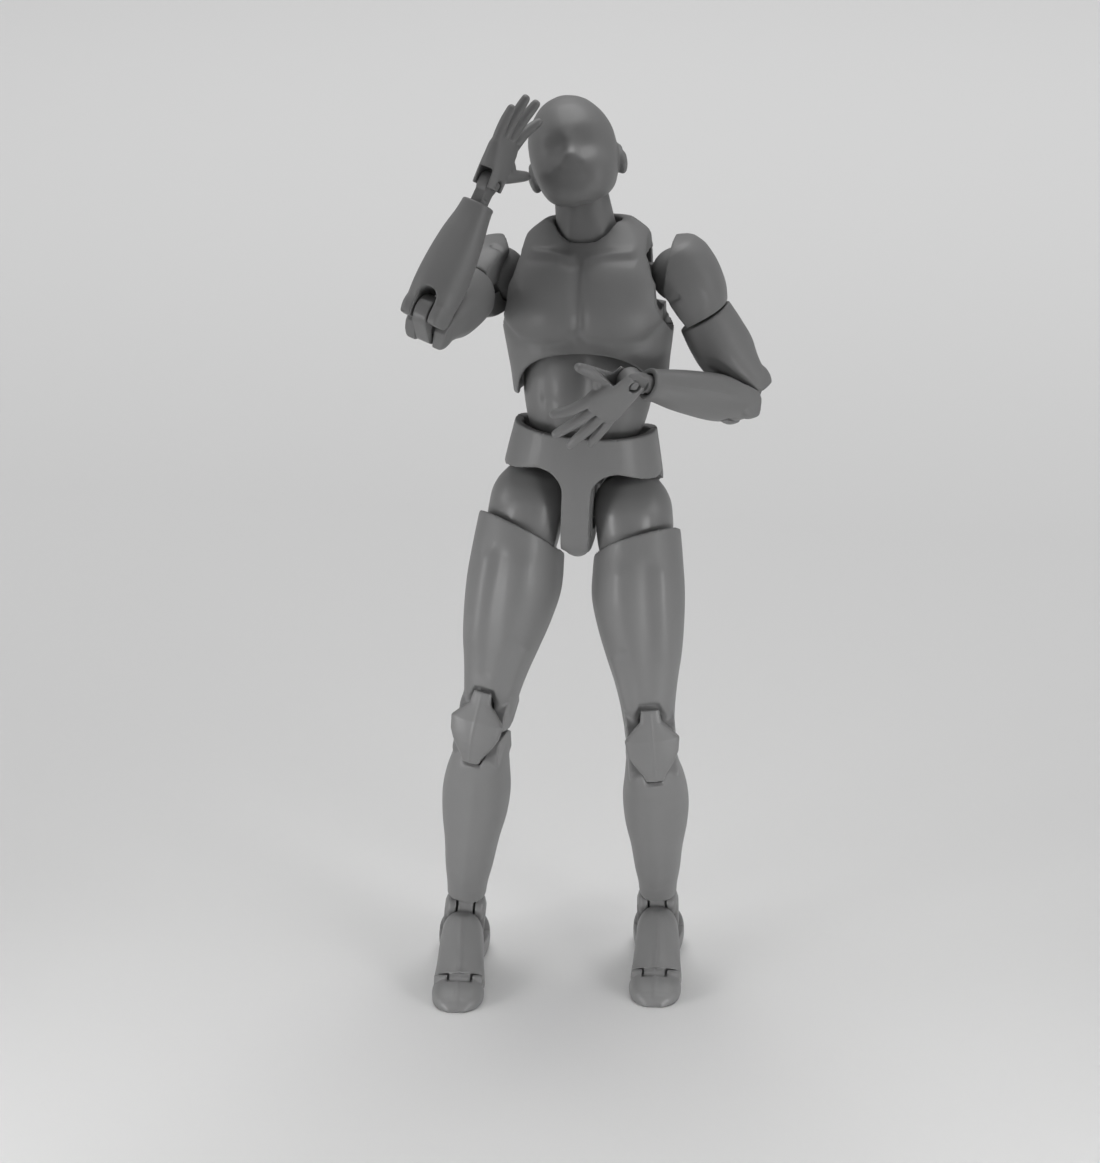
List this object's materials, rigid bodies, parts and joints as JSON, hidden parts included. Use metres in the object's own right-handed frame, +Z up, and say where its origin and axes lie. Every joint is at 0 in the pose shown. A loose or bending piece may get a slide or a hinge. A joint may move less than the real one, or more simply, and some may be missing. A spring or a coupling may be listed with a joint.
{
  "type": "articulated toy figure",
  "caption": "Blank grey human-shaped action figure, jointed from neck to toes, standing with one hand at the head and the other before the belly.",
  "frame": {"origin": "on the floor plane of the soles, under the centre of the bounding box", "axes": "+Z up, the figure faces -Y, its left side is towards +X"},
  "size_m": [0.0548, 0.0378, 0.1452],
  "materials": {
    "shell_plastic": "moulded, fine satin grain",
    "joint_plastic": "moulded, smooth"
  },
  "bodies": {
    "pelvis": {"pelvis_front": "shell_plastic", "pelvis_back": "shell_plastic", "pelvis_core": "joint_plastic"},
    "waist_post": {"waist_post": "joint_plastic"},
    "abdomen": {"abdomen": "shell_plastic"},
    "chest_post": {"chest_post": "joint_plastic"},
    "chest": {"chest_front": "shell_plastic", "chest_back": "shell_plastic", "chest_core": "joint_plastic"},
    "neck_ball": {"neck_ball": "joint_plastic"},
    "neck": {"neck": "shell_plastic"},
    "head_post": {"head_post": "joint_plastic"},
    "head": {"head": "shell_plastic"},
    "right_shoulder_link": {"right_shoulder_link": "joint_plastic"},
    "right_shoulder_ball": {"right_shoulder_ball": "joint_plastic"},
    "right_deltoid": {"right_deltoid": "shell_plastic"},
    "right_upper_arm": {"right_upper_arm": "shell_plastic", "right_elbow_upper_pin": "joint_plastic"},
    "right_elbow": {"right_elbow_link": "joint_plastic"},
    "right_forearm": {"right_forearm": "shell_plastic", "right_elbow_lower_pin": "joint_plastic"},
    "right_wrist_peg": {"right_wrist_peg": "joint_plastic"},
    "right_hand": {"right_hand": "shell_plastic"},
    "left_shoulder_link": {"left_shoulder_link": "joint_plastic"},
    "left_shoulder_ball": {"left_shoulder_ball": "joint_plastic"},
    "left_deltoid": {"left_deltoid": "shell_plastic"},
    "left_upper_arm": {"left_upper_arm": "shell_plastic", "left_elbow_upper_pin": "joint_plastic"},
    "left_elbow": {"left_elbow_link": "joint_plastic"},
    "left_forearm": {"left_forearm": "shell_plastic", "left_elbow_lower_pin": "joint_plastic"},
    "left_wrist_peg": {"left_wrist_peg": "joint_plastic"},
    "left_hand": {"left_hand": "shell_plastic"},
    "right_hip_peg": {"right_hip_peg": "joint_plastic"},
    "right_hip_ball": {"right_hip_ball": "joint_plastic"},
    "right_thigh": {"right_thigh": "shell_plastic", "right_knee_upper_pin": "joint_plastic"},
    "right_knee": {"right_knee_link": "joint_plastic", "right_knee_cap": "shell_plastic"},
    "right_shin": {"right_shin": "shell_plastic", "right_knee_lower_pin": "joint_plastic"},
    "right_ankle_post": {"right_ankle_post": "joint_plastic"},
    "right_ankle_yoke": {"right_ankle_yoke": "joint_plastic"},
    "right_foot": {"right_foot": "shell_plastic", "right_toe_pin": "joint_plastic"},
    "right_toe": {"right_toe_cap": "shell_plastic"},
    "left_hip_peg": {"left_hip_peg": "joint_plastic"},
    "left_hip_ball": {"left_hip_ball": "joint_plastic"},
    "left_thigh": {"left_thigh": "shell_plastic", "left_knee_upper_pin": "joint_plastic"},
    "left_knee": {"left_knee_link": "joint_plastic", "left_knee_cap": "shell_plastic"},
    "left_shin": {"left_shin": "shell_plastic", "left_knee_lower_pin": "joint_plastic"},
    "left_ankle_post": {"left_ankle_post": "joint_plastic"},
    "left_ankle_yoke": {"left_ankle_yoke": "joint_plastic"},
    "left_foot": {"left_foot": "shell_plastic", "left_toe_pin": "joint_plastic"},
    "left_toe": {"left_toe_cap": "shell_plastic"}
  },
  "joints": [
    {"name": "waist_twist", "type": "hinge", "parent": "pelvis", "child": "waist_post", "pos_m": [-0.00175, 0.00283, 0.08694], "axis": [0.0523, -0.0017, 0.9986], "range_deg": [-25.5, 25.5]},
    {"name": "waist_bend", "type": "hinge", "parent": "waist_post", "child": "abdomen", "pos_m": [-0.00141, 0.00282, 0.09343], "axis": [0.9978, -0.0418, -0.0524], "range_deg": [-16, 18.5]},
    {"name": "chest_side", "type": "hinge", "parent": "abdomen", "child": "chest_post", "pos_m": [-0.00095, 0.00326, 0.10181], "axis": [0.0389, 0.9978, -0.0545], "range_deg": [-5, 13.5]},
    {"name": "chest_bend", "type": "hinge", "parent": "chest_post", "child": "chest", "pos_m": [-0.00113, 0.00351, 0.1063], "axis": [-0.9985, 0.0367, -0.0417], "range_deg": [-5.5, 5]},
    {"name": "neck_lean", "type": "hinge", "parent": "chest", "child": "neck_ball", "pos_m": [-0.00164, 0.00556, 0.12045], "axis": [0.0407, 0.9942, -0.0997], "range_deg": [-3.5, 16]},
    {"name": "neck_turn", "type": "hinge", "parent": "neck_ball", "child": "neck", "pos_m": [-0.00164, 0.00556, 0.12045], "axis": [0.1592, -0.1049, -0.9817], "range_deg": [-60, 39.5]},
    {"name": "head_nod", "type": "hinge", "parent": "neck", "child": "head_post", "pos_m": [-0.00276, 0.00629, 0.12732], "axis": [0.9849, 0.0852, 0.1506], "range_deg": [-7, 26]},
    {"name": "head_tilt", "type": "hinge", "parent": "head_post", "child": "head", "pos_m": [-0.00314, 0.00739, 0.12919], "axis": [0.0028, 0.8625, -0.5061], "range_deg": [-8.5, 17]},
    {"name": "right_shoulder_fly", "type": "hinge", "parent": "chest", "child": "right_shoulder_link", "pos_m": [-0.00793, 0.00549, 0.11519], "axis": [0.0378, -0.1012, -0.9941], "range_deg": [-7.5, 16]},
    {"name": "left_shoulder_fly", "type": "hinge", "parent": "chest", "child": "left_shoulder_link", "pos_m": [0.00505, 0.00501, 0.11573], "axis": [-0.0378, 0.1012, 0.9941], "range_deg": [-9.5, 20]},
    {"name": "right_shoulder_swing", "type": "hinge", "parent": "right_shoulder_link", "child": "right_shoulder_ball", "pos_m": [-0.01523, 0.00537, 0.11492], "axis": [0.9992, 0.0154, 0.0364], "range_deg": [-6.5, 89.5]},
    {"name": "left_shoulder_swing", "type": "hinge", "parent": "left_shoulder_link", "child": "left_shoulder_ball", "pos_m": [0.01233, 0.00474, 0.11604], "axis": [0.9985, -0.0367, 0.0417], "range_deg": [-99.5, 5]},
    {"name": "right_shoulder_raise", "type": "hinge", "parent": "right_shoulder_ball", "child": "right_deltoid", "pos_m": [-0.01523, 0.00537, 0.11492], "axis": [0.0333, 0.1683, -0.9852], "range_deg": [-10, 44]},
    {"name": "left_shoulder_raise", "type": "hinge", "parent": "left_shoulder_ball", "child": "left_deltoid", "pos_m": [0.01233, 0.00474, 0.11604], "axis": [0.0357, 0.9991, 0.024], "range_deg": [-39.5, 7]},
    {"name": "right_arm_swivel", "type": "hinge", "parent": "right_deltoid", "child": "right_upper_arm", "pos_m": [-0.01523, 0.00537, 0.11492], "axis": [0.3789, 0.91, 0.1683], "range_deg": [-85.5, 7.5]},
    {"name": "left_arm_swivel", "type": "hinge", "parent": "left_deltoid", "child": "left_upper_arm", "pos_m": [0.01233, 0.00474, 0.11604], "axis": [-0.5272, -0.0016, 0.8497], "range_deg": [-4.5, 90]},
    {"name": "right_hip_swing", "type": "hinge", "parent": "pelvis", "child": "right_hip_peg", "pos_m": [-0.00995, 0.00254, 0.07936], "axis": [0.9986, 0.0001, -0.0523], "range_deg": [-71.5, 20.5]},
    {"name": "left_hip_swing", "type": "hinge", "parent": "pelvis", "child": "left_hip_peg", "pos_m": [0.00562, 0.00255, 0.07854], "axis": [-0.9986, -0.0001, 0.0523], "range_deg": [-22, 67.5]},
    {"name": "right_hip_spread", "type": "hinge", "parent": "right_hip_peg", "child": "right_hip_ball", "pos_m": [-0.00995, 0.00254, 0.07936], "axis": [0.0075, -0.99, 0.1407], "range_deg": [-54, 2]},
    {"name": "left_hip_spread", "type": "hinge", "parent": "left_hip_peg", "child": "left_hip_ball", "pos_m": [0.00562, 0.00255, 0.07854], "axis": [0.0075, -0.99, 0.1407], "range_deg": [-3, 51]},
    {"name": "right_thigh_turn", "type": "hinge", "parent": "right_hip_ball", "child": "right_thigh", "pos_m": [-0.00995, 0.00254, 0.07936], "axis": [0.18, 0.1397, 0.9737], "range_deg": [-45, 16.5]},
    {"name": "left_thigh_turn", "type": "hinge", "parent": "left_hip_ball", "child": "left_thigh", "pos_m": [0.00562, 0.00255, 0.07854], "axis": [-0.1068, 0.1391, 0.9845], "range_deg": [-21, 45]},
    {"name": "right_knee_upper", "type": "hinge", "parent": "right_thigh", "child": "right_knee", "pos_m": [-0.01611, -0.00223, 0.04606], "axis": [0.9691, -0.1948, -0.1512], "range_deg": [-5, 58]},
    {"name": "left_knee_upper", "type": "hinge", "parent": "left_thigh", "child": "left_knee", "pos_m": [0.00928, -0.00221, 0.04487], "axis": [0.9762, 0.2024, 0.0773], "range_deg": [-8, 56]},
    {"name": "right_elbow_upper", "type": "hinge", "parent": "right_upper_arm", "child": "right_elbow", "pos_m": [-0.02281, -0.01283, 0.11156], "axis": [0.9089, -0.3317, -0.2525], "range_deg": [-4, 64]},
    {"name": "left_elbow_upper", "type": "hinge", "parent": "left_upper_arm", "child": "left_elbow", "pos_m": [0.02288, 0.00477, 0.09904], "axis": [0.6848, -0.5929, 0.4238], "range_deg": [-3, 65]},
    {"name": "right_ankle_pitch", "type": "hinge", "parent": "right_ankle_post", "child": "right_ankle_yoke", "pos_m": [-0.02092, 0.00262, 0.00898], "axis": [0.9885, 0.1091, -0.1049], "range_deg": [-28.5, 40]},
    {"name": "left_ankle_pitch", "type": "hinge", "parent": "left_ankle_post", "child": "left_ankle_yoke", "pos_m": [0.00983, 0.00881, 0.009], "axis": [0.9971, 0.0697, 0.0298], "range_deg": [-18.5, 40]},
    {"name": "right_wrist_bend", "type": "hinge", "parent": "right_wrist_peg", "child": "right_hand", "pos_m": [-0.01499, -0.00698, 0.13202], "axis": [0.8918, -0.3983, -0.2145], "range_deg": [-11.5, 60]},
    {"name": "left_wrist_bend", "type": "hinge", "parent": "left_wrist_peg", "child": "left_hand", "pos_m": [0.00683, -0.01048, 0.10365], "axis": [-0.519, 0.7956, 0.3125], "range_deg": [-5, 110]},
    {"name": "right_knee_lower", "type": "hinge", "parent": "right_knee", "child": "right_shin", "pos_m": [-0.01696, -0.0025, 0.04093], "axis": [0.9691, -0.1948, -0.1512], "range_deg": [-12, 51]},
    {"name": "left_knee_lower", "type": "hinge", "parent": "left_knee", "child": "left_shin", "pos_m": [0.00968, -0.00218, 0.03969], "axis": [0.9762, 0.2024, 0.0773], "range_deg": [-19, 45]},
    {"name": "right_elbow_lower", "type": "hinge", "parent": "right_elbow", "child": "right_forearm", "pos_m": [-0.02282, -0.01504, 0.1144], "axis": [0.9089, -0.3317, -0.2525], "range_deg": [-4, 64]},
    {"name": "left_elbow_lower", "type": "hinge", "parent": "left_elbow", "child": "left_forearm", "pos_m": [0.022, 0.00213, 0.09676], "axis": [0.6848, -0.5929, 0.4238], "range_deg": [-3, 65]},
    {"name": "right_ankle_turn", "type": "hinge", "parent": "right_shin", "child": "right_ankle_post", "pos_m": [-0.02092, 0.00262, 0.00898], "axis": [0.1214, -0.157, 0.9801], "range_deg": [-30, 30]},
    {"name": "left_ankle_turn", "type": "hinge", "parent": "left_shin", "child": "left_ankle_post", "pos_m": [0.00983, 0.00881, 0.009], "axis": [-0.0046, -0.3373, 0.9414], "range_deg": [-28.5, 30]},
    {"name": "right_ankle_roll", "type": "hinge", "parent": "right_ankle_yoke", "child": "right_foot", "pos_m": [-0.02124, 0.00258, 0.0059], "axis": [-0.1097, 0.994, 0], "range_deg": [-25, 25]},
    {"name": "left_ankle_roll", "type": "hinge", "parent": "left_ankle_yoke", "child": "left_foot", "pos_m": [0.00992, 0.00882, 0.0059], "axis": [-0.0698, 0.9976, 0], "range_deg": [-23.5, 25]},
    {"name": "right_toe", "type": "hinge", "parent": "right_foot", "child": "right_toe", "pos_m": [-0.01979, -0.01054, 0.0015], "axis": [0.994, 0.1097, 0], "range_deg": [-45, 10]},
    {"name": "left_toe", "type": "hinge", "parent": "left_foot", "child": "left_toe", "pos_m": [0.01084, -0.00435, 0.0015], "axis": [0.9976, 0.0698, 0], "range_deg": [-45, 10]},
    {"name": "right_wrist_twist", "type": "hinge", "parent": "right_forearm", "child": "right_wrist_peg", "pos_m": [-0.01499, -0.00698, 0.13202], "axis": [-0.3749, -0.3855, -0.8431], "range_deg": [-90, 90]},
    {"name": "left_wrist_twist", "type": "hinge", "parent": "left_forearm", "child": "left_wrist_peg", "pos_m": [0.00683, -0.01048, 0.10365], "axis": [0.7263, 0.6032, -0.3296], "range_deg": [-90, 27]}
  ]
}
